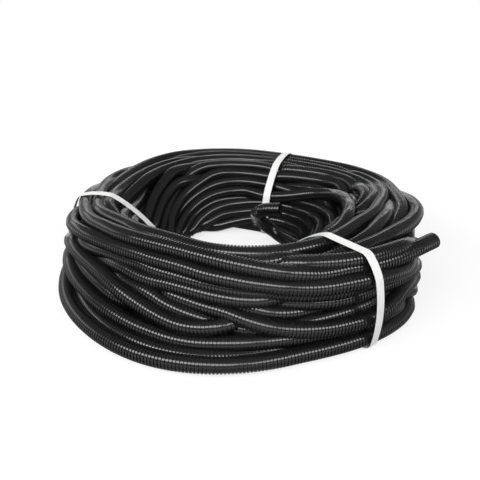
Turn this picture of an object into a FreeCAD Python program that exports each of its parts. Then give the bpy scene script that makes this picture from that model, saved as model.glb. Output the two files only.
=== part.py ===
import FreeCAD, Part
import math
import os
import Sketcher

# A 50 m hank of 20 mm corrugated conduit, wound into a ring and tied with three straps.
# The ring stands on its flat side: its axis is Z, its underside is at Z = 0, and the front faces -Y.

SIZES = {
    "tube_radius": 10.0,          # crest of the ribs
    "groove_radius": 8.6,         # outside of the tube between two ribs
    "wall_thickness": 0.6,
    "rib_pitch": 4.0,
    "rib_crest_width": 1.8,
    "rib_flank_width": 0.5,
    "mouth_ribs": 5.0,            # real ribs at the open end, the rest of the tube is plain
    "bore_depth": 50.0,           # how far the tail is hollow
    "eye_radius": 80.0,           # free space inside the ring
    "turn_press": 0.4,            # how far the ribs of turns side by side mesh
    "turns_across": 9.0,
    "layer_press": 1.4,           # how far a layer of turns sinks into the one below
    "layers": 6.0,
    "valley_depth": 1.15,         # how far the valleys between the turns go in
    "strap_width": 12.0,
    "strap_thickness": 0.8,
    "strap_lap": 28.0,            # length of the welded overlap
    "strap_left_angle": 177.0,
    "strap_back_angle": 68.0,
    "strap_front_angle": -51.0,
    "tail_length": 118.0,         # from the front strap to the open end
    "tail_start": 12.0,           # how far the tail begins before the middle of the front strap
    "clearance": 0.3,             # between pieces that lie on each other
}

doc = FreeCAD.newDocument("CorrugatedConduit")
sheet = doc.addObject("Spreadsheet::Sheet", "Sizes")
for row_number, (name, value) in enumerate(SIZES.items(), start=1):
    sheet.set(f"A{row_number}", name)
    sheet.set(f"B{row_number}", str(value))
    sheet.setAlias(f"B{row_number}", name)
doc.recompute()


class Size:
    """A length or angle that is a number to draw with and an expression that binds it to the sheet."""

    def __init__(self, number, text):
        self.number = number
        self.text = text

    def __add__(self, other):
        other = as_size(other)
        return Size(self.number + other.number, f"({self.text} + {other.text})")

    def __sub__(self, other):
        other = as_size(other)
        return Size(self.number - other.number, f"({self.text} - {other.text})")

    def __mul__(self, other):
        other = as_size(other)
        return Size(self.number * other.number, f"{self.text} * {other.text}")

    def __truediv__(self, other):
        other = as_size(other)
        return Size(self.number / other.number, f"{self.text} / ({other.text})")

    def __neg__(self):
        return Size(-self.number, f"(-1 * {self.text})")

    def root(self):
        return Size(math.sqrt(self.number), f"sqrt({self.text})")

    def cosine(self):
        return Size(math.cos(math.radians(self.number)), f"cos({self.text} * 1 deg)")

    def sine(self):
        return Size(math.sin(math.radians(self.number)), f"sin({self.text} * 1 deg)")


def as_size(value):
    """A plain number as a Size."""
    return value if isinstance(value, Size) else Size(float(value), f"({value})")


def size(name):
    """A size from the sheet."""
    return Size(float(sheet.get(name)), f"Sizes.{name}")


def origin_plane(body, role):
    """One of a body's own origin planes."""
    return next(feature for feature in body.Origin.OriginFeatures if feature.Role == role)


def new_sketch(body, name, role):
    """A sketch on one of the body's origin planes."""
    sketch = body.newObject("Sketcher::SketchObject", name)
    sketch.AttachmentSupport = (origin_plane(body, role), [""])
    sketch.MapMode = "FlatFace"
    return sketch


def bind(sketch, kind, references, value):
    """A constraint of the sketch that follows the sheet."""
    index = sketch.addConstraint(Sketcher.Constraint(kind, *references, value.number))
    sketch.setExpression(f"Constraints[{index}]", value.text)


def bind_point(sketch, geometry, position, point):
    """Holds a point of the sketch at two sizes, measured from the origin."""
    bind(sketch, "DistanceX", (-1, 1, geometry, position), point[0])
    bind(sketch, "DistanceY", (-1, 1, geometry, position), point[1])


def flat(point):
    """The sketch position of a point given as two sizes."""
    return FreeCAD.Vector(point[0].number, point[1].number, 0)


def draw_polygon(sketch, points):
    """A closed outline of straight lines, each corner bound to its two sizes."""
    lines = []
    for start, end in zip(points, points[1:] + points[:1]):
        lines.append(sketch.addGeometry(Part.LineSegment(flat(start), flat(end))))
    for line, point, following in zip(lines, points, lines[1:] + lines[:1]):
        sketch.addConstraint(Sketcher.Constraint("Coincident", line, 2, following, 1))
        bind_point(sketch, line, 1, point)


def draw_scallops(sketch, points, depth):
    """A closed outline of arcs that bulge outward by the same depth between the given points.

    An arc over a chord of length c with the rise v has the radius c * c / (8 * v) + v / 2.
    """
    arcs = []
    for start, end in zip(points, points[1:] + points[:1]):
        a = flat(start)
        b = flat(end)
        outward = FreeCAD.Vector(b.y - a.y, a.x - b.x, 0).normalize()
        middle = (a + b) * 0.5 + outward * depth.number
        arc = Part.Arc(a, middle, b)
        arcs.append(sketch.addGeometry(arc))
    for arc, point, following in zip(arcs, points, arcs[1:] + arcs[:1]):
        sketch.addConstraint(Sketcher.Constraint("Coincident", arc, 2, following, 1))
        bind_point(sketch, arc, 1, point)
    for arc, start, end in zip(arcs, points, points[1:] + points[:1]):
        across = end[0] - start[0]
        upward = end[1] - start[1]
        chord_squared = across * across + upward * upward
        bind(sketch, "Radius", (arc,), chord_squared / (depth * 8) + depth / 2)


def between(start, end, count):
    """Evenly spaced points from start up to, but not including, end."""
    points = []
    for step in range(count):
        share = step / count
        points.append((start[0] + (end[0] - start[0]) * share, start[1] + (end[1] - start[1]) * share))
    return points


def draw_belt(sketch, discs):
    """The outline of a belt stretched over discs, each given as x, z and radius, counter-clockwise."""
    tangent_points = []
    for first, second in zip(discs, discs[1:] + discs[:1]):
        a = flat(first)
        b = flat(second)
        along = (b - a).normalize()
        lean = (first[2].number - second[2].number) / (b - a).Length
        outward = FreeCAD.Vector(along.y, -along.x, 0) * math.sqrt(1 - lean * lean) + along * lean
        tangent_points.append((a + outward * first[2].number, b + outward * second[2].number))
    arcs = []
    lines = []
    for number, disc in enumerate(discs):
        start = tangent_points[number - 1][1]
        end = tangent_points[number][0]
        centre = flat(disc)
        first_angle = math.atan2(start.y - centre.y, start.x - centre.x)
        last_angle = math.atan2(end.y - centre.y, end.x - centre.x)
        circle = Part.Circle(centre, FreeCAD.Vector(0, 0, 1), disc[2].number)
        arcs.append(sketch.addGeometry(Part.ArcOfCircle(circle, first_angle, last_angle)))
        lines.append(sketch.addGeometry(Part.LineSegment(*tangent_points[number])))
    for number, disc in enumerate(discs):
        following = (number + 1) % len(discs)
        sketch.addConstraint(Sketcher.Constraint("Tangent", arcs[number], 2, lines[number], 1))
        sketch.addConstraint(Sketcher.Constraint("Tangent", lines[number], 2, arcs[following], 1))
        bind_point(sketch, arcs[number], 3, disc)
        bind(sketch, "Radius", (arcs[number],), disc[2])


# Places that several pieces share
gap = size("clearance")
valley = size("valley_depth")
tube_radius = size("tube_radius")
spacing = tube_radius * 2 - size("turn_press")
layer_rise = tube_radius * 2 - size("layer_press")
strap_thickness = size("strap_thickness")
turns_across = int(size("turns_across").number)
layers = int(size("layers").number)
ring_bottom = strap_thickness + gap + valley
ring_top = ring_bottom + layer_rise * (layers - 1) + tube_radius * 2 - valley * 2
inner_wall = size("eye_radius") + valley
outer_wall = inner_wall + spacing * turns_across
corner = layer_rise
shoulder = layer_rise * 2

# The valleys between the turns lie on an eight-sided section. Its lower edges are cut off by one
# turn and its upper ones by two, and the free outer end lies on the outer shoulder.
section_corners = [
    (inner_wall + spacing, ring_bottom),
    (outer_wall - spacing, ring_bottom),
    (outer_wall, ring_bottom + corner),
    (outer_wall, ring_top - shoulder),
    (outer_wall - spacing * 2, ring_top),
    (inner_wall + spacing * 2, ring_top),
    (inner_wall, ring_top - shoulder),
    (inner_wall, ring_bottom + corner),
]
turns_on_side = [turns_across - 2, 1, layers - 3, 2, turns_across - 4, 2, layers - 3, 1]


def turn_about_axis(body, angle):
    """Turns a body about the ring's axis by an angle from the sheet."""
    upright = FreeCAD.Vector(0, 0, 1)
    body.Placement = FreeCAD.Placement(FreeCAD.Vector(), FreeCAD.Rotation(upright, angle.number))
    body.setExpression("Placement.Rotation.Angle", angle.text)


def make_coil():
    """The wound turns as one turned solid, with a scallop for each turn that shows."""
    body = doc.addObject("PartDesign::Body", "ConduitCoil")
    body.Label = "conduit_coil"
    sketch = new_sketch(body, "WindingSection", "XZ_Plane")
    points = []
    for start, end, count in zip(section_corners, section_corners[1:] + section_corners[:1], turns_on_side):
        points += between(start, end, count)
    draw_scallops(sketch, points, valley)
    turned = body.newObject("PartDesign::Revolution", "Winding")
    turned.Profile = sketch
    turned.ReferenceAxis = (sketch, ["V_Axis"])
    turned.Angle = 360
    return body


# The tail lies on the shoulder under the front strap, with its top level with the ring's crests
shoulder_across = spacing * 2
shoulder_length = (shoulder_across * shoulder_across + shoulder * shoulder).root()
stand_off = tube_radius + gap + valley
below_top = tube_radius - valley
tail_height = ring_top - below_top
tail_radius = (
    outer_wall - shoulder_across
    + (stand_off * shoulder_length + below_top * shoulder_across) / shoulder)


def make_strap(name, label, angle, over_tail):
    """A closed band round the section, welded where its ends lap on the wall of the eye."""
    body = doc.addObject("PartDesign::Body", name)
    body.Label = label
    radius = valley + gap
    discs = [(across, height, radius) for across, height in section_corners]
    if over_tail:
        discs[4] = (tail_radius, tail_height, tube_radius + gap)
    thicker = [(x, z, disc_radius + strap_thickness) for x, z, disc_radius in discs]
    loop = new_sketch(body, name + "Loop", "XZ_Plane")
    draw_belt(loop, discs)
    draw_belt(loop, thicker)
    band = body.newObject("PartDesign::Pad", name + "Band")
    band.Profile = loop
    band.SideType = "Symmetric"
    band.setExpression("Length", "Sizes.strap_width")

    lap = new_sketch(body, name + "LapSection", "XZ_Plane")
    lap_foot = ring_bottom + corner
    lap_face = inner_wall - radius - strap_thickness
    lap_end = lap_foot + size("strap_lap")
    draw_polygon(lap, [
        (lap_face - strap_thickness, lap_foot),
        (lap_face, lap_foot),
        (lap_face, lap_end),
        (lap_face - strap_thickness, lap_end),
    ])
    weld = body.newObject("PartDesign::Pad", name + "Lap")
    weld.Profile = lap
    weld.SideType = "Symmetric"
    weld.setExpression("Length", "Sizes.strap_width")
    turn_about_axis(body, angle)
    return body


def tail_profile():
    """Half the section of the tail, from the mouth at x = 0 back to under the front strap.

    The wall is one thin skin that waves in and out through the ribs. Behind them the tail is
    plain outside, bored to the narrowest inside of the ribs, and solid past the bore.
    """
    wall = size("wall_thickness")
    pitch = size("rib_pitch")
    crest = size("rib_crest_width")
    flank = size("rib_flank_width")
    groove = size("groove_radius")
    ribs = int(size("mouth_ribs").number)
    outside = []
    for rib in range(ribs):
        start = pitch * rib
        outside.append((start, tube_radius))
        outside.append((start + crest, tube_radius))
        outside.append((start + crest + flank, groove))
        outside.append((start + pitch - flank, groove))
    inside = [(along, radius - wall) for along, radius in outside]
    depth = size("bore_depth")
    end = size("tail_length") + size("tail_start")
    outside += [(pitch * ribs, tube_radius), (end, tube_radius), (end, as_size(0))]
    return outside + [(depth, as_size(0)), (depth, groove - wall)] + inside[::-1]


def make_outer_end():
    """The straight tail with its open, ribbed mouth, which stands off the ring.

    The mouth is at the body's origin and the tail runs back along X to the front strap, where
    it touches the circle that it lies on.
    """
    body = doc.addObject("PartDesign::Body", "ConduitEndOuter")
    body.Label = "conduit_end_outer"
    section = new_sketch(body, "TailSection", "XY_Plane")
    draw_polygon(section, tail_profile())
    tail = body.newObject("PartDesign::Revolution", "Tail")
    tail.Profile = section
    tail.ReferenceAxis = (section, ["H_Axis"])
    tail.Angle = 360
    length = size("tail_length")
    leave = size("strap_front_angle")
    turn_about_axis(body, leave - 90)
    east = tail_radius * leave.cosine() - length * leave.sine()
    north = tail_radius * leave.sine() + length * leave.cosine()
    body.setExpression("Placement.Base.x", east.text)
    body.setExpression("Placement.Base.y", north.text)
    body.setExpression("Placement.Base.z", tail_height.text)
    return body


# The inner end leaves the wall of the eye, doubles back in a hairpin and ends near the wall.
# Points of the centre line, measured from the ring's axis and the floor.
INNER_END_POINTS = [
    FreeCAD.Vector(84, -24, 58),
    FreeCAD.Vector(44, 56, 70),
    FreeCAD.Vector(18, 28, 77),
    FreeCAD.Vector(65, 20, 91),
]


def tangent_path(points):
    """Straight runs joined by tangent arcs, each as large as 0.45 of the shorter run beside it allows."""
    edges = []
    start = points[0]
    for before, bend, after in zip(points, points[1:], points[2:]):
        back = (before - bend).normalize()
        ahead = (after - bend).normalize()
        half_turn = (math.pi - back.getAngle(ahead)) / 2
        reach = 0.45 * min((before - bend).Length, (after - bend).Length)
        radius = reach / math.tan(half_turn)
        print(f"inner end bend radius {radius:.1f} mm")
        arc_start = bend + back * reach
        arc_end = bend + ahead * reach
        centre = bend + (back + ahead).normalize() * (radius / math.cos(half_turn))
        middle = centre + (bend - centre).normalize() * radius
        edges.append(Part.LineSegment(start, arc_start).toShape())
        edges.append(Part.Arc(arc_start, middle, arc_end).toShape())
        start = arc_end
    edges.append(Part.LineSegment(start, points[-1]).toShape())
    return Part.Wire(edges)


def make_inner_end(coil):
    """The free inner end as a plain tube, cut back to the wall of the eye."""
    route = doc.addObject("Part::Feature", "InnerEndRoute")
    route.Shape = tangent_path(INNER_END_POINTS)
    heading = INNER_END_POINTS[1] - INNER_END_POINTS[0]
    section = doc.addObject("Part::Circle", "InnerEndSection")
    section.setExpression("Radius", tube_radius.text)
    section.Placement = FreeCAD.Placement(
        INNER_END_POINTS[0], FreeCAD.Rotation(FreeCAD.Vector(0, 0, 1), heading))
    tube = doc.addObject("Part::Sweep", "InnerEndTube")
    tube.Sections = [section]
    tube.Spine = route
    tube.Solid = True
    trimmed = doc.addObject("Part::Cut", "ConduitEndInner")
    trimmed.Label = "conduit_end_inner"
    trimmed.Base = tube
    trimmed.Tool = coil
    return trimmed


coil = make_coil()
straps = [
    make_strap("StrapLeft", "strap_left", size("strap_left_angle"), False),
    make_strap("StrapBack", "strap_back", size("strap_back_angle"), False),
    make_strap("StrapFront", "strap_front", size("strap_front_angle"), True),
]
outer_end = make_outer_end()
inner_end = make_inner_end(coil)
doc.recompute()

for thing in doc.Objects:
    if "Invalid" in thing.State or "Error" in thing.State:
        raise ValueError(f"{thing.Name} is {thing.State}")

os.makedirs("parts", exist_ok=True)
for piece in [coil, outer_end, inner_end] + straps:
    shape = piece.Shape
    if shape.isNull() or not shape.isValid() or not shape.Solids:
        raise ValueError(f"{piece.Label} has no sound solid")
    shape.exportStep(f"parts/{piece.Label}.step")
    box = shape.BoundBox
    print(f"{piece.Label}: {shape.Volume / 1000:.1f} cm3,",
          f"x {box.XMin:.1f} to {box.XMax:.1f}, y {box.YMin:.1f} to {box.YMax:.1f},",
          f"z {box.ZMin:.1f} to {box.ZMax:.1f}")
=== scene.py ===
# %% [markdown]
# # A coil of corrugated conduit
# Conduit is the tube that electric cables are pulled through. This one is black, ribbed and
# bendable, and it is sold as a coil of about 50 m, tied with three white straps. The imported CAD
# model gives the coil's outer shape as one turned solid. This file winds the tube itself, turn by
# turn. The shared frame is loaded first.

# %% Load the frame
import math
import bpy
import numpy as np
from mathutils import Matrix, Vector


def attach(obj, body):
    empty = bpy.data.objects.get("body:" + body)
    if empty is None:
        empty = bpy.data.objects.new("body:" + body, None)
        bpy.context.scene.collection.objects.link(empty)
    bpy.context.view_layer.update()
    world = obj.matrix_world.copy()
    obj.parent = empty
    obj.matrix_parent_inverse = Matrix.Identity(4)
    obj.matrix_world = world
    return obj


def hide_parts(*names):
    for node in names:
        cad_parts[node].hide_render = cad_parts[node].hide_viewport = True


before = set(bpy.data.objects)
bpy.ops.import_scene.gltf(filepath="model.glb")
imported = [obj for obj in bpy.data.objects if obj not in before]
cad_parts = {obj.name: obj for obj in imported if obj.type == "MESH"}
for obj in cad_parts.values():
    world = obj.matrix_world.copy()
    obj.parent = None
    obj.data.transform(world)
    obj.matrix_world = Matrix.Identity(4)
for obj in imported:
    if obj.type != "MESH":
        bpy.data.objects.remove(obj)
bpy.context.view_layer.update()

# %% [markdown]
# ## Camera
# The photograph looks down on the coil by about 27 degrees, from the front. Its lens is worked out
# from how much wider the front of the ring looks than the back. A camera in Blender looks along its
# own -Z, so it is tilted up from straight down by 90 degrees less the pitch.

# %% Camera
CAMERA_PLACE = (0.0, -0.5972, 0.3484)
CAMERA_PITCH = 26.844
CAMERA_YAW = 0.129
CAMERA_LENS = 33.709


def make_camera():
    """A camera at the photograph's place, looking down by the pitch and turned by the yaw."""
    data = bpy.data.cameras.new("photo_camera")
    data.lens = CAMERA_LENS
    data.sensor_width = 36.0
    camera = bpy.data.objects.new("photo_camera", data)
    bpy.context.scene.collection.objects.link(camera)
    camera.location = CAMERA_PLACE
    camera.rotation_euler = (math.radians(90.0 - CAMERA_PITCH), 0.0, math.radians(-CAMERA_YAW))
    bpy.context.scene.camera = camera
    return camera


camera = make_camera()
print("camera at", CAMERA_PLACE)

# %% [markdown]
# ## Sizes
# The tube is 20 mm over its ribs, and they repeat every 4 mm. A coil of 50 m has about 47 turns. In
# this pile they measure 55 m, because its eye is wider at the back than a round one. Each turn has
# 48 stations, which is a point every 7.5 degrees. At a station every turn shows as a disc in the
# plane through the coil's axis, so winding the coil becomes a matter of packing discs.

# %% Sizes
TUBE_RADIUS = 0.010
GROOVE_RADIUS = 0.0086
WALL = 0.0006
RIB_PITCH = 0.004
RIB_CREST = 0.0018
RIB_FLANK = 0.0005
TURNS = 47
STATIONS = 48
TURN_SPACING = 0.0187
BURIED_SPACING = 0.0150
TAIL_ANGLE = math.radians(-57.0)
FLOOR_CENTRE = 0.0112
print("ribs per turn, about:", round(2 * math.pi * 0.18 / RIB_PITCH))

# %% [markdown]
# ## The pile's shape
# A hand-wound coil isn't round. Seen from above, the turns at the top cut straight across the
# front left and come out again under the front strap, and the eye is wider at the back. Short lists
# give the middle of the outermost, innermost and highest turns, in degrees round the axis and
# millimetres. A list reads more easily than a formula here, because the shape was pulled by hand.

# %% Lists of the pile's outline
TOP_OUTER = [(-180, 233), (-165, 230), (-155, 200), (-148, 184), (-130, 165), (-111, 161),
             (-97, 173), (-74, 198), (-59, 216), (-49, 231), (-37, 242), (-20, 247), (0, 249),
             (60, 243), (90, 250), (115, 262), (135, 260), (150, 246), (163, 233)]
TOP_INNER = [(-180, 192), (-169, 180), (-156, 163), (-139, 147), (-120, 144), (-103, 154),
             (-90, 158), (-72, 160), (-56, 158), (-40, 152), (-20, 165), (0, 185), (20, 198),
             (35, 200), (60, 178), (90, 170), (120, 166), (150, 178)]
LOW_INNER = [(-180, 112), (-165, 104), (-140, 90), (-90, 88), (-30, 92), (0, 104), (25, 118),
             (48, 130), (65, 126), (90, 122), (125, 128), (150, 118)]
LOW_OUTER = [(-180, 251), (-165, 253), (-153, 250), (-139, 244), (-116, 242), (-102, 236),
             (-86, 228), (-70, 219), (-59, 227), (-44, 240), (-34, 248), (-22, 254), (-5, 253),
             (60, 246), (90, 248), (120, 254), (150, 250)]
TOP_HEIGHT = [(-180, 104), (-165, 105), (-150, 107), (-20, 107), (20, 105), (68, 103), (85, 107),
              (140, 107), (160, 103)]
print("outline points:", sum(len(table) for table in (TOP_OUTER, TOP_INNER, LOW_INNER, LOW_OUTER)))

# %% [markdown]
# ## Walls of the pile
# The lists become walls that hold the turns in: at each station and height, the smallest and the
# largest radius that a tube's middle may have. Straight lines from point to point would leave
# corners, so the values are averaged over 24 degrees. Between the floor and the top the walls curve
# by a power of the height, because the real pile bulges at its side.

# %% Walls of the pile
TOP_RISE = 0.094
RISE_LIMIT = 1.15
OUTER_POWER = 0.85
INNER_POWER = 1.75
POWER_SWING = 0.45
STEEP_ANGLE = math.radians(-60.0)
RECESS = 0.011
RECESS_ANGLE = math.radians(-115.0)


def round_the_axis(angle, table):
    """The table's value at each angle: straight between its points, averaged over 24 degrees."""
    at = np.array([row[0] for row in table], float)
    value = np.array([row[1] for row in table], float) / 1000.0
    degrees = np.degrees(angle)
    total = np.zeros(len(degrees))
    for turn, weight in ((-12, 1), (-6, 2), (0, 3), (6, 2), (12, 1)):
        total += weight * np.interp(degrees + turn, at, value, period=360)
    return total / 9.0


class Walls:
    """The innermost and outermost radius that a tube's middle may have, by station and height.

    The recess draws the hidden turns back at the front, so that the leading turns stand out there.
    """

    def __init__(self, angle):
        self.low_outer = round_the_axis(angle, LOW_OUTER)
        self.top_outer = round_the_axis(angle, TOP_OUTER)
        self.low_inner = round_the_axis(angle, LOW_INNER)
        self.top_inner = round_the_axis(angle, TOP_INNER)
        self.ceiling = round_the_axis(angle, TOP_HEIGHT)
        self.recess = RECESS * (0.5 + 0.5 * np.cos(angle - RECESS_ANGLE)) ** 1.5
        self.power = INNER_POWER + POWER_SWING * np.cos(angle - STEEP_ANGLE)

    def at(self, height):
        """low + (top - low) * rise ** power. Rise is 0 at the floor and 1 at the top."""
        rise = np.clip((height - TUBE_RADIUS) / TOP_RISE, 0.0, RISE_LIMIT)
        outer = self.low_outer + (self.top_outer - self.low_outer) * rise ** OUTER_POWER
        inner = self.low_inner + (self.top_inner - self.low_inner) * rise ** self.power
        return inner, outer


stations = np.arange(TURNS * STATIONS)
angles = TAIL_ANGLE - 2 * np.pi * (len(stations) - 1 - stations) / STATIONS
walls = Walls(angles)
print("ceiling from %.3f to %.3f m" % (walls.ceiling.min(), walls.ceiling.max()))

# %% [markdown]
# ## The order of the turns
# The turns fill the pile row by row, outwards in one row and inwards in the next, as a tube does
# when it is laid round and round. A place in the pile is two shares: how far across from the inner
# wall, and how far up from the floor.

# %% Places in the pile
ROWS = (9, 8, 8, 7, 6, 5, 4)


def places_in_pile():
    """One row per turn: share across, share up. Rows run outwards and inwards in turn."""
    places = []
    for level, count in enumerate(ROWS):
        row = [(n / (count - 1), level / (len(ROWS) - 1)) for n in range(count)]
        places += row if level % 2 == 0 else row[::-1]
    return np.array(places)


def ease(share):
    """3 s^2 - 2 s^3, a smooth step from 0 to 1."""
    share = np.clip(share, 0.0, 1.0)
    return share * share * (3.0 - 2.0 * share)


PLACES = places_in_pile()
print("turns in the pile:", len(PLACES))

# %% [markdown]
# ## Turns that the photograph picks out
# Some tubes are plain to see. Their way was read from the photograph and listed: the number of
# the turn, then degrees round the axis, millimetres from it and millimetres above the floor. The
# other turns make room.
# A whole simulation of the winding could not put these tubes where the photograph has them.

# %% Leading turns
LEADING = [
    (46, [(-204, 243, 88), (-190, 225, 98), (-173, 213, 102), (-164, 203, 103), (-153, 183, 105),
          (-130, 162, 105), (-111, 158, 105), (-97, 170, 105), (-74, 196, 102), (-59, 206, 99)]),
    (45, [(-206, 238, 97), (-193, 211, 104), (-182, 198, 104), (-169, 187, 103), (-156, 167, 106),
          (-139, 151, 106), (-120, 145, 107), (-103, 153, 107), (-90, 156, 107), (-72, 160, 107),
          (-56, 163, 106), (-41, 163, 105), (-27, 168, 106), (-2, 194, 107), (10, 219, 107),
          (19, 231, 106), (28, 230, 105), (34, 227, 104)]),
    (44, [(-170, 236, 92), (-159, 217, 95), (-150, 199, 94), (-144, 189, 92), (-123, 171, 88),
          (-104, 172, 85), (-87, 191, 84), (-80, 198, 84), (-62, 220, 83), (-54, 226, 84),
          (-48, 233, 84), (-35, 250, 80)]),
    (43, [(-100, 163, 88), (-85, 168, 93), (-70, 178, 98), (-54, 190, 104), (-44, 197, 105),
          (-28, 212, 105), (-15, 235, 104), (-5, 249, 103), (7, 250, 102), (18, 249, 100)]),
    (44, [(-23, 205, 95), (-15, 216, 98), (-3, 229, 104), (6, 234, 105), (17, 241, 104),
          (28, 244, 103)]),
    (42, [(-50, 182, 98), (-41, 187, 100), (-21, 197, 101), (-7, 208, 101), (5, 214, 98)]),
    (33, [(5, 188, 94), (12, 199, 98), (20, 206, 101), (32, 219, 101), (44, 206, 99), (57, 197, 98)]),
    (16, [(-9, 174, 88), (0, 178, 92), (17, 187, 92), (25, 188, 88), (35, 177, 83), (45, 163, 77)]),
    (2, [(-40, 149, 99), (-32, 150, 100), (-21, 152, 100), (-8, 155, 98), (4, 159, 95),
         (17, 164, 90), (28, 165, 85), (37, 158, 80), (45, 147, 75), (55, 138, 70), (66, 133, 66)]),
    (38, [(-108, 158, 70), (-90, 172, 66), (-70, 196, 62), (-52, 216, 60)]),
    (26, [(-140, 187, 62), (-125, 182, 52), (-106, 187, 42)]),
    (25, [(-150, 176, 70), (-130, 166, 67), (-116, 172, 64), (-104, 176, 57), (-97, 182, 52),
          (-86, 198, 44), (-71, 229, 33), (-63, 240, 30), (-50, 246, 30)]),
    (24, [(-165, 237, 66), (-148, 208, 60), (-135, 204, 50), (-124, 198, 42), (-108, 203, 33)]),
    (9, [(-178, 251, 42), (-168, 244, 44), (-157, 235, 41), (-145, 222, 35), (-129, 215, 26),
         (-116, 213, 20), (-105, 213, 16)]),
    (8, [(-178, 251, 17), (-165, 253, 14), (-153, 250, 12), (-139, 244, 12), (-116, 241, 12),
         (-102, 234, 12), (-86, 225, 12), (-70, 218, 12), (-59, 227, 12), (-44, 240, 12),
         (-30, 247, 12)]),
]
print("stretches set by hand:", len(LEADING))

# %% [markdown]
# ## Crossings
# On the real coil turns slip over their neighbours, so no row stays a row for a whole turn. Two
# things bring that in. Neighbours swap places for a part of the way round, and a slow random line
# moves each tube a few millimetres. The seed is fixed, so each run winds the same coil.

# %% Swaps and wander
SWAPS = 70
SWAP_REACH = 1.6
SWAP_LENGTH = (0.12, 0.20)
SWAP_BEGIN = (0.52, 0.70)
SWAP_END = 1.24
FIRST_SWAPPED = 10
LAST_SWAPPED = TURNS - 4
WANDER = 0.006
WANDER_STEP = 8
rng = np.random.default_rng(5)


def swap_neighbours(wish, turn, phase):
    """Give two neighbouring turns each other's place for a part of the way round.

    The share of the other's place is ease(way since the begin) * ease(way to the end).
    """
    steps = np.array([ROWS[0] - 1, len(ROWS) - 1], float)
    for _ in range(SWAPS):
        first = rng.integers(FIRST_SWAPPED, LAST_SWAPPED + 1)
        gap = np.hypot(*((PLACES - PLACES[first]) * steps).T)
        second = rng.choice(np.flatnonzero((gap > 0) & (gap < SWAP_REACH)))
        length = rng.uniform(*SWAP_LENGTH)
        begin = rng.uniform(*SWAP_BEGIN)
        end = rng.uniform(begin + length, SWAP_END - length)
        if not FIRST_SWAPPED <= second <= LAST_SWAPPED:
            continue
        for a, b in ((first, second), (second, first)):
            way = (turn == a) * phase + (turn == a + 1) * (phase + 1.0)
            share = ease((way - begin) / length) * ease((end + length - way) / length)
            wish += (PLACES[b] - PLACES[a]) * share[:, None]


def wander(count, step):
    """A smooth random line: random heights every few stations, averaged twelve times."""
    line = np.interp(np.arange(count), np.arange(count // step + 2) * step,
                     rng.normal(size=count // step + 2))
    for _ in range(12):
        line = np.convolve(np.pad(line, 1, "edge"), (0.25, 0.5, 0.25), "valid")
    return line


print("swaps tried:", SWAPS)

# %% [markdown]
# ## The twist of the pile
# At the left back the tubes run slantwise up out of the eye and over the top. That is the whole
# pile turning, as a rope does, and not single tubes crossing. So every place in the section is
# turned round the section's middle, most at the back and not at all at the front.

# %% Twist
TWIST = 70.0
TWIST_BEGIN = -45.0
TWIST_RISE = 60.0
TWIST_END = 178.0
TWIST_FALL = 78.0


def twist(wish, angle):
    """Turn each place by up to TWIST degrees along squares: (u, v) keeps max(|u|, |v|).

    What lies on the inner wall at the left comes up to the top at the back, and goes back at the
    right.
    """
    degrees = np.degrees(angle) % 360.0
    degrees -= 360.0 * (degrees > 180.0)
    turned = math.radians(TWIST) * ease((degrees - TWIST_BEGIN) / TWIST_RISE)
    turned = turned * ease((TWIST_END - degrees) / TWIST_FALL)
    u, v = 2.0 * wish.T - 1.0
    reach = np.maximum(np.abs(u), np.abs(v))
    direction = np.arctan2(v, u) - turned
    c, s = np.cos(direction), np.sin(direction)
    return 0.5 + 0.5 * (reach / np.maximum(np.abs(c), np.abs(s)))[:, None] * np.stack([c, s], 1)


print("twist at the back: %.0f degrees" % TWIST)

# %% [markdown]
# ## Wishes
# Each station now gets a wish: the turn's place in the pile, and the step to the next place at the
# back of the ring, where the seam of the winding lies. A number called hold says how firmly the
# wish is kept. It is high where a turn's way is listed, and low for all the others.

# %% Wishes
SEAM_START = 0.28
SEAM_SHARE = 0.22
LOOSE_HOLD = 0.03
OUTER_HOLD = 0.12
FIRM_HOLD = 0.35
HELD = 0.2
LEAD_IN = 30.0
LOW_ROWS = 0.7


def follow_leads(radius, height, hold, degrees):
    """Blend the listed stretches into the wishes, over LEAD_IN degrees before and after each."""
    for number, points in LEADING:
        at, far, high = np.array(points, float).T
        middle = degrees[number * STATIONS] + 180.0
        at = at + 360.0 * np.round((middle - at.mean()) / 360.0)
        share = ease((degrees - at[0] + LEAD_IN) / LEAD_IN)
        share = share * ease((at[-1] + LEAD_IN - degrees) / LEAD_IN)
        radius = radius * (1 - share) + share * np.interp(degrees, at, far) / 1000.0
        height = height * (1 - share) + share * np.interp(degrees, at, high) / 1000.0
        hold = np.maximum(hold, FIRM_HOLD * share)
    return radius, height, hold


def wishes(angle, walls):
    """Where each station would like to be, as radius and height, and how firmly it is held there."""
    count = len(angle)
    turn = np.arange(count) // STATIONS
    phase = (np.arange(count) % STATIONS) / STATIONS
    step = ease((phase - SEAM_START) / SEAM_SHARE)[:, None]
    wish = PLACES[np.maximum(turn - 1, 0)] * (1 - step) + PLACES[turn] * step
    swap_neighbours(wish, turn, phase)
    wish = twist(np.clip(wish, 0.0, 1.0), angle)
    height = FLOOR_CENTRE + wish[:, 1] * (walls.ceiling - FLOOR_CENTRE)
    inner, outer = walls.at(height)
    radius = inner + wish[:, 0] * (outer - inner)
    radius += WANDER * wander(count, WANDER_STEP)
    height += WANDER * wander(count, WANDER_STEP)
    hold = LOOSE_HOLD + OUTER_HOLD * (wish[:, 0] > 0.98) * (wish[:, 1] < LOW_ROWS)
    radius, height, hold = follow_leads(radius, height, hold, np.degrees(angle))
    return np.stack([radius, height], 1), hold


wish, hold = wishes(angles, walls)
print("stations held firmly:", int((hold > HELD).sum()), "of", len(hold))

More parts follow.
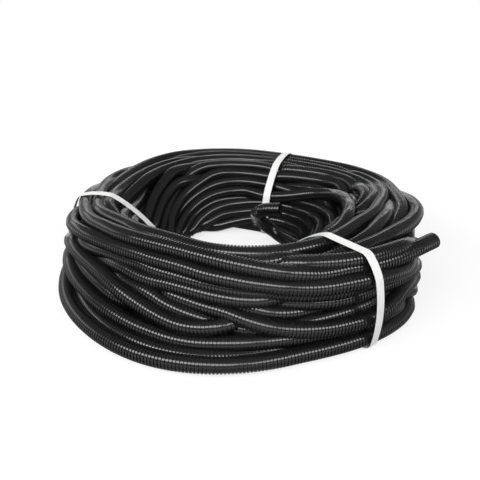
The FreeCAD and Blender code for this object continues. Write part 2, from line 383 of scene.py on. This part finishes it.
# %% [markdown]
# ## Settling
# The wishes overlap, so the pile has to settle. Four things are repeated: the line is smoothed along
# the tube, pulled to its wish, pushed out of its neighbours and kept between the walls. Blender's
# own physics could drop real bodies, but 50 m of tube would take too long and fall differently from
# the photograph. Here all discs of a station are compared at once as arrays.

# %% Settling
SETTLING_STEPS = 200
SMOOTH_AWAY = 0.3
SMOOTH_LINE = 0.02
PULL = 0.7
PUSH = 0.27
WALL_PULL = 0.8


def disc_spacing():
    """The distance two turns keep is the mean of their own spacings, less for buried turns."""
    buried_turn = (PLACES[:, 1] < LOW_ROWS) & (PLACES[:, 0] > 0.01) & (PLACES[:, 0] < 0.99)
    spacing = np.where(buried_turn, BURIED_SPACING, TURN_SPACING)
    return (0.5 * (spacing[:, None] + spacing[None]))[..., None]


def push_apart(place, spacing):
    """Each disc moves by PUSH * (sum of its overlaps with the others, away from them)."""
    discs = place.reshape(TURNS, STATIONS, 2)
    between = discs[:, None] - discs[None]
    gap = np.sqrt((between ** 2).sum(-1)) + 1e-9
    lap = np.clip(spacing - gap, 0.0, None)
    lap[np.arange(TURNS), np.arange(TURNS)] = 0.0
    push = (between * (lap / gap)[..., None]).sum(1)
    return (discs + PUSH * push).reshape(-1, 2)


def keep_inside(place, wish, hold, walls):
    """Move each disc WALL_PULL of the way back to the walls. Held turns may pass the inner wall."""
    height = np.clip(place[:, 1], FLOOR_CENTRE, walls.ceiling)
    inner, outer = walls.at(height)
    inner = np.where(hold > HELD, np.minimum(inner, wish[:, 0]), inner)
    outer = np.where(hold > HELD, outer, outer - walls.recess)
    radius = np.clip(place[:, 0], inner, outer)
    return place + WALL_PULL * (np.stack([radius, height], 1) - place)


def settle(wish, hold, walls):
    """Repeat: smooth along the tube, pull to the wish, push discs apart, keep inside the walls."""
    place = wish.copy()
    spacing = disc_spacing()
    for _ in range(SETTLING_STEPS):
        away = place - wish
        place[1:-1] += SMOOTH_AWAY * (away[:-2] + away[2:] - 2 * away[1:-1])
        place[1:-1] += SMOOTH_LINE * (place[:-2] + place[2:] - 2 * place[1:-1])
        place -= PULL * hold[:, None] * away
        for _ in range(2):
            place = keep_inside(push_apart(place, spacing), wish, hold, walls)
    return place


settled = settle(wish, hold, walls)
print("pile: radius %.3f to %.3f, height up to %.3f"
      % (settled[:, 0].min(), settled[:, 0].max(), settled[:, 1].max()))

# %% [markdown]
# ## The whole route
# The real conduit is one uncut length. It starts at the cut end inside the eye, goes through all the
# turns and leaves as the tail. No rule of winding gives the shape of the ends. So both are short
# lists of points, which were tried against the photograph.

# %% Ends of the route
INNER_END = [(0.059, -0.006, 0.098), (0.011, 0.012, 0.092), (0.055, 0.043, 0.038),
             (0.081, -0.006, 0.042), (0.107, -0.049, 0.045), (0.141, -0.018, 0.030)]
TAIL = [(0.1240, -0.1710, 0.0980), (0.1480, -0.1640, 0.0970), (0.1740, -0.1530, 0.0985),
        (0.1960, -0.1405, 0.1010), (0.2160, -0.1280, 0.1035), (0.2350, -0.1160, 0.1050)]
FIRST_STATION = 10


def coil_points():
    """Each station as x = r cos(a), y = r sin(a), z = height."""
    across = [settled[:, 0] * np.cos(angles), settled[:, 0] * np.sin(angles)]
    return np.stack(across + [settled[:, 1]], 1)


turns = coil_points()
control = np.concatenate([np.array(INNER_END), turns[FIRST_STATION:-1], np.array(TAIL)])
print("points that guide the line:", len(control))

# %% [markdown]
# ## The line through the middle
# A stiff tube bends smoothly, so its middle is a smooth line near the guiding points. Blender's
# NURBS curve draws such a line and never swings out beyond its points, as a curve that is forced
# through them can. It is turned into a mesh once, and its points are read back as an array.

# %% Line
LINE_DETAIL = 8


def centreline(points, detail):
    """A smooth NURBS line with the points as its control points, read back as a chain of points."""
    data = bpy.data.curves.new("route", "CURVE")
    data.dimensions = "3D"
    data.resolution_u = detail
    spline = data.splines.new("NURBS")
    spline.points.add(len(points) - 1)
    spline.points.foreach_set("co", np.column_stack([points, np.ones(len(points))]).ravel())
    spline.order_u = 3
    spline.use_endpoint_u = True
    route = bpy.data.objects.new("route", data)
    bpy.context.scene.collection.objects.link(route)
    mesh = bpy.data.meshes.new_from_object(route)
    line = np.empty(len(mesh.vertices) * 3)
    mesh.vertices.foreach_get("co", line)
    bpy.data.objects.remove(route)
    bpy.data.meshes.remove(mesh)
    bpy.data.curves.remove(data)
    return line.reshape(-1, 3)


def distances(points):
    """The distance from the first point to each, summed up along the chain."""
    return np.concatenate([[0.0], np.cumsum(np.linalg.norm(np.diff(points, axis=0), axis=1))])


line = centreline(control, LINE_DETAIL)
along = distances(line)
print("conduit length %.2f m, %d points" % (along[-1], len(line)))

# %% [markdown]
# ## What lies out of sight
# More than a third of the tube is inside the pile, where nobody sees its ribs, and the mesh is much
# smaller without them. Rays could be shot at the finished tube to find such places, but the discs
# are known already, so each one looks round itself in the plane of its station.

# %% Buried stretches
LOOKS = 24
LOOK_BEGIN = 0.001
LOOK_WIDTH = 0.011


def buried(place):
    """True where every direction from a disc, in its station's plane, meets another disc.

    A disc is met if it is more than LOOK_BEGIN ahead and less than LOOK_WIDTH aside. Two stations
    to each side of one that shows are kept too.
    """
    discs = place.reshape(TURNS, STATIONS, 2)
    between = discs[None] - discs[:, None]
    hidden = np.ones((TURNS, STATIONS), bool)
    for turn in np.linspace(0.0, 2 * np.pi, LOOKS, endpoint=False):
        ahead = between[..., 0] * math.cos(turn) + between[..., 1] * math.sin(turn)
        aside = between[..., 1] * math.cos(turn) - between[..., 0] * math.sin(turn)
        hidden &= ((ahead > LOOK_BEGIN) & (np.abs(aside) < LOOK_WIDTH)).any(1)
    shown = ~hidden.reshape(-1)
    for _ in range(2):
        shown[1:-1] |= shown[:-2] | shown[2:]
    return ~shown


inside = np.concatenate([np.zeros(len(INNER_END)), buried(settled)[FIRST_STATION:-1],
                         np.zeros(len(TAIL))])
control_at = np.interp(np.arange(len(control)) * (len(line) - 1) / (len(control) - 1),
                       np.arange(len(line)), along)
print("guiding points out of sight: %d of %d" % (inside.sum(), len(inside)))

# %% [markdown]
# ## Ribs
# The wall of the conduit is moulded into ribs with flat crests and narrow grooves, which let it
# bend. A bump in the material could draw them, but the edge of each turn would stay smooth, and
# here the ribs show on every edge. So they are real: the tube is a chain of rings, each with a
# distance along the line and a radius. A rib that shows has four rings. A buried one has one ring
# on every third rib, and a bump does the rest.

# %% Plan of the rings
RIB_OFFSETS = np.array([0.0, RIB_CREST, RIB_CREST + RIB_FLANK, RIB_PITCH - RIB_FLANK])
RIB_RADII = np.array([TUBE_RADIUS, TUBE_RADIUS, GROOVE_RADIUS, GROOVE_RADIUS])
BURIED_STEP = 3
BORE_RIBS = 7
BORE_RINGS = BORE_RIBS * len(RIB_OFFSETS)


def ring_plan(length):
    """Distances along the line and radii, and where the last rib ends."""
    count = int(length / RIB_PITCH)
    start = np.arange(count) * RIB_PITCH
    plain = np.interp(start, control_at, inside) > 0.99
    distance = (start[~plain][:, None] + RIB_OFFSETS).ravel()
    radius = np.tile(RIB_RADII, (~plain).sum())
    sparse = start[plain & (np.arange(count) % BURIED_STEP == 0)]
    distance = np.concatenate([distance, sparse])
    radius = np.concatenate([radius, np.full(len(sparse), 0.5 * (TUBE_RADIUS + GROOVE_RADIUS))])
    order = np.argsort(distance, kind="stable")
    return distance[order], radius[order], count * RIB_PITCH


def open_both_ends(distance, radius, end):
    """At both cut ends the plan turns back inside the wall for a few ribs, so the bore is open."""
    bore = (np.arange(BORE_RIBS)[:, None] * RIB_PITCH + RIB_OFFSETS).ravel()
    bore_radius = np.tile(RIB_RADII, BORE_RIBS) - WALL
    distance = np.concatenate([bore[::-1], distance, [end], end - bore])
    radius = np.concatenate([bore_radius[::-1], radius, [TUBE_RADIUS], bore_radius])
    return distance, radius


ring_distance, ring_radius = open_both_ends(*ring_plan(along[-1]))
print("rings planned:", len(ring_distance))

# %% [markdown]
# ## Rings in space
# Each ring stands square to the line. The direction of the line is read from a little before the
# ring to a little after it, so that it turns smoothly in bends. A curve with a bevel could sweep a
# tube as well, but its rings can't be placed rib by rib.

# %% Rings
SIDES = 13
LOOK_ALONG = 0.002


def point_on_line(distance):
    """The line's x, y and z at each distance, straight between its points."""
    return np.stack([np.interp(distance, along, line[:, n]) for n in range(3)], 1)


def ring_grid(distance, radius):
    """Rings square to the line: centre + radius * (cos(t) * side + sin(t) * up)."""
    centre = point_on_line(distance)
    forward = point_on_line(distance + LOOK_ALONG) - point_on_line(distance - LOOK_ALONG)
    forward /= np.linalg.norm(forward, axis=1)[:, None]
    side = np.cross(forward, (0.0, 0.0, 1.0))
    side /= np.linalg.norm(side, axis=1)[:, None]
    up = np.cross(side, forward)
    t = np.linspace(0.0, 2 * np.pi, SIDES, endpoint=False)
    spread = np.cos(t)[None, :, None] * side[:, None] + np.sin(t)[None, :, None] * up[:, None]
    return centre, centre[:, None] + radius[:, None, None] * spread


print("vertices planned:", len(ring_distance) * SIDES)

# %% [markdown]
# ## From arrays to a mesh
# The surface between two rings is a band of four-sided faces. All the corner numbers come from one
# grid of indices and its shifted copies, without a loop over vertices. The edges within a ring are
# marked sharp, so each crest shines by itself, as moulded ribs do.

# %% Mesh helpers
def set_attribute(mesh, name, values):
    """A number on each vertex, for the materials to read."""
    attribute = mesh.attributes.new(name, "FLOAT", "POINT")
    attribute.data.foreach_set("value", np.asarray(values, np.float32))


def new_piece(name, vertices, faces):
    """An object at the origin from an array of vertices and a list of faces."""
    mesh = bpy.data.meshes.new(name)
    mesh.from_pydata(vertices.reshape(-1, 3).tolist(), [], faces)
    mesh.validate()
    piece = bpy.data.objects.new(name, mesh)
    bpy.context.scene.collection.objects.link(piece)
    return piece


def sharpen_rings(piece, sides):
    """Smooth faces, and sharp edges wherever both ends of an edge lie in the same ring."""
    piece.data.polygons.foreach_set("use_smooth", np.ones(len(piece.data.polygons), bool))
    ends = np.empty(len(piece.data.edges) * 2, np.int32)
    piece.data.edges.foreach_get("vertices", ends)
    ends = ends.reshape(-1, 2) // sides
    sharp = piece.data.attributes.new("sharp_edge", "BOOLEAN", "EDGE")
    sharp.data.foreach_set("value", ends[:, 0] == ends[:, 1])


def tube_piece(name, rings, distance, radius, closed_start, closed_end):
    """Quads between neighbouring rings, with a cap across the bore's bottom at a cut end.

    Crest is (radius - groove) / (top of the rib - groove), which is 1 on a crest and 0 in a groove.
    """
    count, sides = rings.shape[:2]
    index = np.arange(count * sides).reshape(count, sides)
    a, b = index[:-1], index[1:]
    quads = np.stack([a, b, np.roll(b, -1, 1), np.roll(a, -1, 1)], -1).reshape(-1, 4).tolist()
    if closed_start:
        quads.append(index[0].tolist())
    if closed_end:
        quads.append(index[-1][::-1].tolist())
    piece = new_piece(name, rings, quads)
    sharpen_rings(piece, sides)
    crest = (radius - GROOVE_RADIUS) / (TUBE_RADIUS - GROOVE_RADIUS)
    set_attribute(piece.data, "along", np.repeat(distance, sides))
    set_attribute(piece.data, "crest", np.repeat(crest, sides))
    return piece


print("faces planned, about:", (len(ring_distance) - 1) * SIDES)

# %% [markdown]
# ## Runs of conduit
# The conduit is one piece, but a single mesh of it would have nearly a million triangles. It is cut
# into six runs of the same number of rings. Neighbours share their end ring, so no gap shows.

# %% Runs of conduit
RUNS = 6


def make_run(n, part):
    """One run: a tube piece from its part of the plan, parented to the root."""
    distance, radius = ring_distance[part], ring_radius[part]
    first, last = n == 0, n == RUNS - 1
    centre, rings = ring_grid(distance, radius)
    piece = tube_piece("conduit_run_%d" % (n + 1), rings, distance, radius, first, last)
    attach(piece, "root")
    outside = slice(BORE_RINGS if first else 0, len(centre) - BORE_RINGS if last else None)
    return piece


cuts = np.linspace(0, len(ring_distance) - 1, RUNS + 1).astype(int)
runs = [make_run(n, slice(cuts[n], cuts[n + 1] + 1)) for n in range(RUNS)]
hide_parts("conduit_coil", "conduit_end_inner")
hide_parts("conduit_end_outer")

# %% [markdown]
# ## Straps
# Each strap is a white plastic band that is pulled tight round the pile and welded to itself. A
# cloth simulation could pull it tight, but it would take long and need care. A tight band has the
# outline that a rubber band takes round the discs at its angle, and that can be worked out.

# %% Discs under a strap
STRAP_ANGLES = {"strap_left": 177.0, "strap_back": 68.0, "strap_front": -51.0}
STRAP_EDGE = 0.03


def discs_at(angle):
    """The pile's discs at one angle, read between the stations of each turn."""
    step = (angle - TAIL_ANGLE) / (2 * np.pi) * STATIONS
    at = np.arange(1, TURNS) * STATIONS - 1 + step % STATIONS
    at = at[at < len(settled) - 1]
    return np.stack([np.interp(at, stations, settled[:, n]) for n in range(2)], 1)


def discs_near(angle):
    """The pile's discs under a strap: at one edge, at its middle and at the other edge."""
    return np.concatenate([discs_at(angle + shift) for shift in (-STRAP_EDGE, 0.0, STRAP_EDGE)])


for name, angle in STRAP_ANGLES.items():
    print(name, "ties", len(discs_at(math.radians(angle))), "turns")

# %% [markdown]
# ## A strap's outline
# In each direction the outline is the disc furthest that way. Strapping is too stiff for sharp
# corners, so this reach is averaged over a small turn to each side. The outline is also kept
# between the floor and the coil's full height.

# %% Outline of a strap
STRAP_EASE = 12.0
STRAP_FLOOR = 0.0009
STRAP_TOP = 0.1172
LOOP_POINTS = 480


def band_outline(discs, reach, count=LOOP_POINTS):
    """Points on the tight loop round the discs, in (radius, height), evenly spaced, with distances.

    In direction n the loop reaches h = furthest disc along n + reach, averaged over STRAP_EASE
    degrees to each side. The loop is h * n + (dh / dt) * t, where t is square to n.
    """
    t = np.linspace(0.0, 2 * np.pi, count, endpoint=False)
    n = np.stack([np.cos(t), np.sin(t)], 1)
    middle = discs.mean(0)
    furthest = ((discs - middle) @ n.T).max(0) + reach
    wide = int(STRAP_EASE / 360.0 * count)
    furthest = sum(np.roll(furthest, k) for k in range(-wide, wide + 1)) / (2 * wide + 1)
    slope = (np.roll(furthest, -1) - np.roll(furthest, 1)) / (4 * np.pi / count)
    loop = middle + furthest[:, None] * n + slope[:, None] * np.stack([-n[:, 1], n[:, 0]], 1)
    loop[:, 1] = np.clip(loop[:, 1], STRAP_FLOOR, STRAP_TOP)
    loop = np.concatenate([loop, loop[:1]])
    far = distances(loop)
    even = np.linspace(0.0, far[-1], count)
    return np.stack([np.interp(even, far, loop[:, k]) for k in range(2)], 1), even


print("points on a strap:", LOOP_POINTS)

# %% [markdown]
# ## Bands and laps
# A band is a loop of small rectangles, one at each point of the outline. The welded lap is a second,
# short layer on the wall of the eye, where it is seen and where a tool can reach it. A modifier
# could thicken a flat ribbon too, but the arrays give the lap and the texture lengths directly.

# %% Bands
STRAP_WIDTH = 0.012


def in_space(section, out):
    """A place in the section as radius * out + height * up."""
    return section[:, :1] * out + section[:, 1:] * np.array([0, 0, 1.0])


def band_piece(name, loop, far, normal, angle, low, high, closed):
    """A flat band: the loop moved out by low and high along its normal, and half the width aside."""
    out = np.array([math.cos(angle), math.sin(angle), 0.0])
    aside = np.array([-math.sin(angle), math.cos(angle), 0.0]) * 0.5 * STRAP_WIDTH
    inner, outer = (in_space(loop + lift * normal, out) for lift in (low, high))
    rings = np.stack([inner - aside, inner + aside, outer + aside, outer - aside], 1)
    index = np.arange(rings.shape[0] * 4).reshape(-1, 4)
    a, b = (index, np.roll(index, -1, 0)) if closed else (index[:-1], index[1:])
    quads = np.stack([a, np.roll(a, -1, 1), np.roll(b, -1, 1), b], -1).reshape(-1, 4).tolist()
    if not closed:
        quads += [index[0][::-1].tolist(), index[-1].tolist()]
    piece = new_piece(name, rings, quads)
    set_attribute(piece.data, "along", np.repeat(far, 4))
    set_attribute(piece.data, "across", np.tile([0.0, 1.0, 1.0, 0.0], len(far)))
    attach(piece, "root")
    return piece


print("strap width:", STRAP_WIDTH)

# %% [markdown]
# ## Making the straps
# The band lies a hair above the crests, as stiff strapping does. The lap is placed where the band
# passes LAP_HEIGHT on its inner side. It could be modelled once and moved into place, but cutting
# it out of the band's own outline makes it fit without any turning.

# %% Making the straps
STRAP_THICKNESS = 0.0008
STRAP_LAP = 0.028
STRAP_GAP = 0.0006
LAP_HEIGHT = 0.042


def make_strap(name, angle):
    """The tight band and, on the wall of the eye, the welded lap that closes it."""
    loop, far = band_outline(discs_near(angle), TUBE_RADIUS + STRAP_GAP)
    loop, far = loop[:-1], far[:-1]
    ahead = np.roll(loop, -1, 0) - np.roll(loop, 1, 0)
    ahead /= np.linalg.norm(ahead, axis=1)[:, None]
    normal = np.stack([ahead[:, 1], -ahead[:, 0]], 1)
    band = band_piece(name + "_band", loop, far, normal, angle, 0.0, STRAP_THICKNESS, True)
    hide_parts(name)
    middle = np.argmin(np.abs(loop[:, 1] - LAP_HEIGHT) + (loop[:, 0] > loop[:, 0].mean()))
    near = np.flatnonzero(np.abs(far - far[middle]) < 0.5 * STRAP_LAP)
    lap = band_piece(name + "_lap", loop[near], far[near], normal[near], angle,
                     STRAP_THICKNESS, 2 * STRAP_THICKNESS, False)
    return [band, lap]


straps = sum([make_strap(name, math.radians(angle)) for name, angle in STRAP_ANGLES.items()], [])
print("straps:", [piece.name for piece in straps])

# %% [markdown]
# ## Nodes in a few words
# A material in Blender is a net of nodes. Three helpers keep the net readable here: one adds a node
# and fills its inputs, one does a sum, and one mixes two colours.

# %% Node helpers
def add_node(tree, kind, values=None, **settings):
    """Add a node, set its properties and fill its inputs by name or number."""
    node = tree.nodes.new(kind)
    for key, value in settings.items():
        setattr(node, key, value)
    for key, value in (values or {}).items():
        if isinstance(value, bpy.types.NodeSocket):
            tree.links.new(value, node.inputs[key])
        else:
            node.inputs[key].default_value = value
    return node


def math_node(tree, operation, a, b=0.0, clamp=False):
    """One sum of two numbers or sockets."""
    return add_node(tree, "ShaderNodeMath", {0: a, 1: b}, operation=operation,
                    use_clamp=clamp).outputs[0]


def mix_colour(tree, share, a, b):
    """a * (1 - share) + b * share, for colours."""
    node = tree.nodes.new("ShaderNodeMix")
    node.data_type = "RGBA"
    for name, kind, value in (("Factor", "VALUE", share), ("A", "RGBA", a), ("B", "RGBA", b)):
        socket = [s for s in node.inputs if s.name == name and s.type == kind][0]
        if isinstance(value, bpy.types.NodeSocket):
            tree.links.new(value, socket)
        else:
            socket.default_value = value
    return [s for s in node.outputs if s.type == "RGBA"][0]


print("node helpers: add_node, math_node, mix_colour")

# %% [markdown]
# ## Wear and dust
# Handled plastic is never quite even. Crests get thin pale scuffs, and a little dust stays in the
# grooves. A picture could show this, but noise needs no picture and fits a tube of any length. Both
# materials use the same effect, so it is a node group, with its own values in each material.

# %% Wear and dust group
CLOUD_SCALE = 18.0
GRIT_SCALE = 600.0
RUBBED_ABOVE = 0.62
SCUFF_TINT = 0.12
SCUFF_ROUGH = 0.25
CLOUD_ROUGH = 0.10
DUST_COLOUR = (0.25, 0.24, 0.22, 1.0)
SCUFF_COLOUR = (0.5, 0.5, 0.5, 1.0)
WEAR_INPUTS = (("Colour", "NodeSocketColor", (0.01, 0.01, 0.01, 1)), ("Dust", "NodeSocketFloat", 0.1),
               ("Scuffs", "NodeSocketFloat", 0.2), ("Gloss", "NodeSocketFloat", 0.25),
               ("Crest", "NodeSocketFloat", 1.0))
WEAR_OUTPUTS = (("Colour", "NodeSocketColor"), ("Roughness", "NodeSocketFloat"),
                ("Height", "NodeSocketFloat"))


def add_noise(tree, scale, detail):
    """Noise in the object's own coordinates, as one number from 0 to 1."""
    place = tree.nodes.new("ShaderNodeTexCoord").outputs["Object"]
    values = {"Vector": place, "Scale": scale, "Detail": detail}
    return add_node(tree, "ShaderNodeTexNoise", values).outputs["Fac"]


def make_wear_group():
    """Colour, roughness and height of a handled plastic surface.

    Dust share = dust * (1 - crest) * cloudy noise. Scuff share = scuffs * crest, where the gritty
    noise is above RUBBED_ABOVE. Roughness = gloss + a share of the cloud + a share of the scuffs.
    """
    group = bpy.data.node_groups.new("wear_and_dust", "ShaderNodeTree")
    for name, kind, value in WEAR_INPUTS:
        socket = group.interface.new_socket(name, in_out="INPUT", socket_type=kind)
        socket.default_value = value
    for name, kind in WEAR_OUTPUTS:
        group.interface.new_socket(name, in_out="OUTPUT", socket_type=kind)
    inputs = group.nodes.new("NodeGroupInput").outputs
    outputs = group.nodes.new("NodeGroupOutput").inputs
    cloud = add_noise(group, CLOUD_SCALE, 4.0)
    grit = add_noise(group, GRIT_SCALE, 3.0)
    groove = math_node(group, "SUBTRACT", 1.0, inputs["Crest"], True)
    dust = math_node(group, "MULTIPLY", math_node(group, "MULTIPLY", groove, inputs["Dust"]), cloud)
    rubbed = math_node(group, "GREATER_THAN", grit, RUBBED_ABOVE)
    rubbed = math_node(group, "MULTIPLY", rubbed, inputs["Crest"])
    scuff = math_node(group, "MULTIPLY", rubbed, inputs["Scuffs"])
    dusty = mix_colour(group, dust, inputs["Colour"], DUST_COLOUR)
    colour = mix_colour(group, math_node(group, "MULTIPLY", scuff, SCUFF_TINT), dusty, SCUFF_COLOUR)
    cloudy = math_node(group, "MULTIPLY", cloud, CLOUD_ROUGH)
    rough = math_node(group, "ADD", inputs["Gloss"], cloudy)
    rough = math_node(group, "ADD", rough, math_node(group, "MULTIPLY", scuff, SCUFF_ROUGH), True)
    for value, name in ((colour, "Colour"), (rough, "Roughness"), (grit, "Height")):
        group.links.new(value, outputs[name])
    return group


wear_group = make_wear_group()
print("group:", wear_group.name)

# %% [markdown]
# ## Conduit material
# The conduit is glossy black plastic. The "crest" attribute says how high each vertex lies on its
# rib, so scuffs and dust follow the ribs. A texture map would have to be laid along 50 m of tube,
# and the attribute does that by itself. Where a buried turn has no real ribs, a wave draws them.

# %% Conduit material
BLACK = (0.005, 0.005, 0.0053, 1.0)


def new_material(name):
    """A material with its shader node, ready to be filled."""
    material = bpy.data.materials.new(name)
    material.use_nodes = True
    return material, material.node_tree, material.node_tree.nodes["Principled BSDF"]


def read_attribute(tree, name):
    """The number that a mesh carries under this name."""
    return add_node(tree, "ShaderNodeAttribute", attribute_name=name).outputs["Fac"]


def add_wear(tree, colour, dust, scuffs, gloss):
    """The wear group with this material's values."""
    values = {"Colour": colour, "Dust": dust, "Scuffs": scuffs, "Gloss": gloss}
    return add_node(tree, "ShaderNodeGroup", values, node_tree=wear_group)


def join_surface(tree, shader, wear, bump):
    """Colour and roughness from the wear group and the normal from the bump, into the shader."""
    tree.links.new(wear.outputs["Colour"], shader.inputs["Base Color"])
    tree.links.new(wear.outputs["Roughness"], shader.inputs["Roughness"])
    tree.links.new(bump.outputs["Normal"], shader.inputs["Normal"])


def make_conduit_material():
    """Black plastic: the wear group by rib height, and a bump of ribs where crest is about 0.5."""
    material, tree, shader = new_material("conduit_black")
    crest = read_attribute(tree, "crest")
    wear = add_wear(tree, BLACK, dust=0.05, scuffs=0.25, gloss=0.14)
    tree.links.new(crest, wear.inputs["Crest"])
    plain = add_node(tree, "ShaderNodeMath", {0: crest, 1: 0.5, 2: 0.02},
                     operation="COMPARE").outputs[0]
    turn = math_node(tree, "MULTIPLY", read_attribute(tree, "along"), 2 * math.pi / RIB_PITCH)
    ribs = math_node(tree, "MULTIPLY", plain, math_node(tree, "SINE", turn))
    height = math_node(tree, "ADD", math_node(tree, "MULTIPLY", wear.outputs["Height"], 0.01), ribs)
    bump = add_node(tree, "ShaderNodeBump", {"Height": height, "Strength": 0.6, "Distance": 0.0006})
    shader.inputs["Specular IOR Level"].default_value = 0.8
    join_surface(tree, shader, wear, bump)
    return material


black = make_conduit_material()
for piece in runs:
    piece.data.materials.append(black)
print("material:", black.name, "on", len(runs), "pieces")

# %% [markdown]
# ## Strap material
# Strapping is pressed with a fine diamond pattern that stiffens it. Real diamonds would need very
# many faces, so a bump draws them: two slanted waves are multiplied, and their product is high and
# low in a diamond grid. The waves read the distance along the strap and across it.

# %% Strap material
WHITE = (0.93, 0.93, 0.92, 1.0)
DIAMOND = 0.0024


def make_strap_material():
    """White strapping: height = sin(far + over) * sin(far - over), one diamond every 2.4 mm."""
    material, tree, shader = new_material("strapping_white")
    far = math_node(tree, "MULTIPLY", read_attribute(tree, "along"), 2 * math.pi / DIAMOND)
    over = math_node(tree, "MULTIPLY", read_attribute(tree, "across"),
                     2 * math.pi * STRAP_WIDTH / DIAMOND)
    left = math_node(tree, "SINE", math_node(tree, "ADD", far, over))
    right = math_node(tree, "SINE", math_node(tree, "SUBTRACT", far, over))
    height = math_node(tree, "MULTIPLY", left, right)
    wear = add_wear(tree, WHITE, dust=0.0, scuffs=0.6, gloss=0.38)
    bump = add_node(tree, "ShaderNodeBump", {"Height": height, "Strength": 0.35, "Distance": 0.0002})
    join_surface(tree, shader, wear, bump)
    return material


white = make_strap_material()
for piece in straps:
    piece.data.materials.append(white)
print("material:", white.name, "on", len(straps), "pieces")

# %% [markdown]
# ## Floor
# The coil lies on a floor that looks white and still shows a soft shadow. A fully white floor would
# throw so much light up that black plastic turns grey. So only a share of the floor is real white,
# and the rest is a glow that lights nothing. The camera sees the glow everywhere. Gloss and glass
# see it further out only, so the floor next to the coil stays dim in its plastic.

# %% Floor
FLOOR_SHARE = 0.35
FLOOR_REACH = 4.0
CAMERA_WHITE = 1.05
GLOW_BEGIN = 0.4
GLOW_FULL = 0.9


def fade(tree, value, begin, end, start_value, end_value):
    """A smooth step of the value, from start_value at begin to end_value at end."""
    values = {"Value": value, "From Min": begin, "From Max": end, "To Min": start_value,
              "To Max": end_value}
    return add_node(tree, "ShaderNodeMapRange", values,
                    interpolation_type="SMOOTHSTEP").outputs["Result"]


def ray_kinds(tree):
    """1 for a ray from the camera, and 1 for a ray from a gloss or through glass."""
    path = tree.nodes.new("ShaderNodeLightPath").outputs
    mirrored = math_node(tree, "MAXIMUM", path["Is Glossy Ray"], path["Is Transmission Ray"])
    return path["Is Camera Ray"], mirrored


def make_floor_material():
    """A dull white share plus a glow of max(camera * (far * share + rest), mirrored * far)."""
    material = bpy.data.materials.new("floor_white")
    material.use_nodes = True
    tree = material.node_tree
    tree.nodes.clear()
    place = tree.nodes.new("ShaderNodeTexCoord").outputs["Object"]
    away = add_node(tree, "ShaderNodeVectorMath", {0: place}, operation="LENGTH").outputs["Value"]
    far = fade(tree, away, GLOW_BEGIN, GLOW_FULL, 0.0, 1.0)
    camera_ray, mirrored = ray_kinds(tree)
    rest = add_node(tree, "ShaderNodeMath", {0: far, 1: FLOOR_SHARE, 2: CAMERA_WHITE - FLOOR_SHARE},
                    operation="MULTIPLY_ADD").outputs[0]
    glow = math_node(tree, "MAXIMUM", math_node(tree, "MULTIPLY", camera_ray, rest),
                     math_node(tree, "MULTIPLY", mirrored, far))
    dull = add_node(tree, "ShaderNodeBsdfDiffuse", {"Color": (FLOOR_SHARE,) * 3 + (1.0,)}).outputs[0]
    lift = add_node(tree, "ShaderNodeEmission", {"Strength": glow}).outputs[0]
    both = add_node(tree, "ShaderNodeAddShader", {0: dull, 1: lift}).outputs[0]
    add_node(tree, "ShaderNodeOutputMaterial", {"Surface": both})
    return material


def make_floor():
    """A square at the height of the ground, with FLOOR_REACH from its middle to each side."""
    signs = np.array([(-1, -1, 0), (1, -1, 0), (1, 1, 0), (-1, 1, 0)], float)
    floor = new_piece("floor", FLOOR_REACH * signs, [(0, 1, 2, 3)])
    floor.data.materials.append(make_floor_material())
    return floor


floor = make_floor()
print("floor:", floor.name, 2 * FLOOR_REACH, "m wide")

# %% [markdown]
# ## World
# The world is what lies behind everything. The camera sees it white. A gloss sees it white only
# near the horizon, so the tops of the turns stay black. Everything else gets a dim, even light. A
# white world all round would be simpler, but it would wash out the black plastic.

# %% World
WORLD_LEVEL = 0.25
HORIZON_BEGIN = 0.05
HORIZON_END = 0.25


def make_world():
    """Strength = level + (1 - level) * max(camera, mirrored * low), low fading with the height."""
    world = bpy.data.worlds.new("studio")
    world.use_nodes = True
    tree = world.node_tree
    direction = tree.nodes.new("ShaderNodeTexCoord").outputs["Generated"]
    upward = add_node(tree, "ShaderNodeSeparateXYZ", {0: direction}).outputs["Z"]
    low = fade(tree, upward, HORIZON_BEGIN, HORIZON_END, 1.0, 0.0)
    camera_ray, mirrored = ray_kinds(tree)
    white = math_node(tree, "MAXIMUM", camera_ray, math_node(tree, "MULTIPLY", mirrored, low))
    white = math_node(tree, "MULTIPLY", white, 1.0 - WORLD_LEVEL)
    strength = math_node(tree, "ADD", WORLD_LEVEL, white)
    background = tree.nodes["Background"]
    background.inputs["Color"].default_value = (1.0, 1.0, 1.0, 1.0)
    tree.links.new(strength, background.inputs["Strength"])
    bpy.context.scene.world = world
    return world


world = make_world()
print("world:", world.name)

# %% [markdown]
# ## Lamps
# A ribbed black tube shows its shape by the light that it mirrors. A long strip lamp is mirrored as
# a thin bright line along each turn, and a round lamp would give a row of dots. The key light is at
# the front left, and three weaker strips draw the right side, the left edge and the back.

# %% Lamps
AIM = Vector((0.0, 0.0, 0.05))


def add_light(name, place, width, height, power):
    """A strip lamp of this width and height at a place, turned to the coil."""
    data = bpy.data.lights.new(name, "AREA")
    data.shape = "RECTANGLE"
    data.size, data.size_y = width, height
    data.energy = power
    lamp = bpy.data.objects.new(name, data)
    bpy.context.scene.collection.objects.link(lamp)
    lamp.location = place
    lamp.rotation_euler = (AIM - Vector(place)).to_track_quat("-Z", "Y").to_euler()
    return lamp


lamps = [add_light("key_light", (-0.75, -1.2, 1.3), 2.6, 0.6, 30),
         add_light("right_light", (1.1, -1.2, 1.1), 1.6, 0.5, 14),
         add_light("left_light", (-1.9, 0.7, 0.9), 1.8, 0.4, 7),
         add_light("back_light", (0.0, 2.0, 0.9), 3.0, 0.3, 9)]
bpy.context.scene.view_settings.view_transform = "Standard"
print("lamps:", [lamp.name for lamp in lamps])
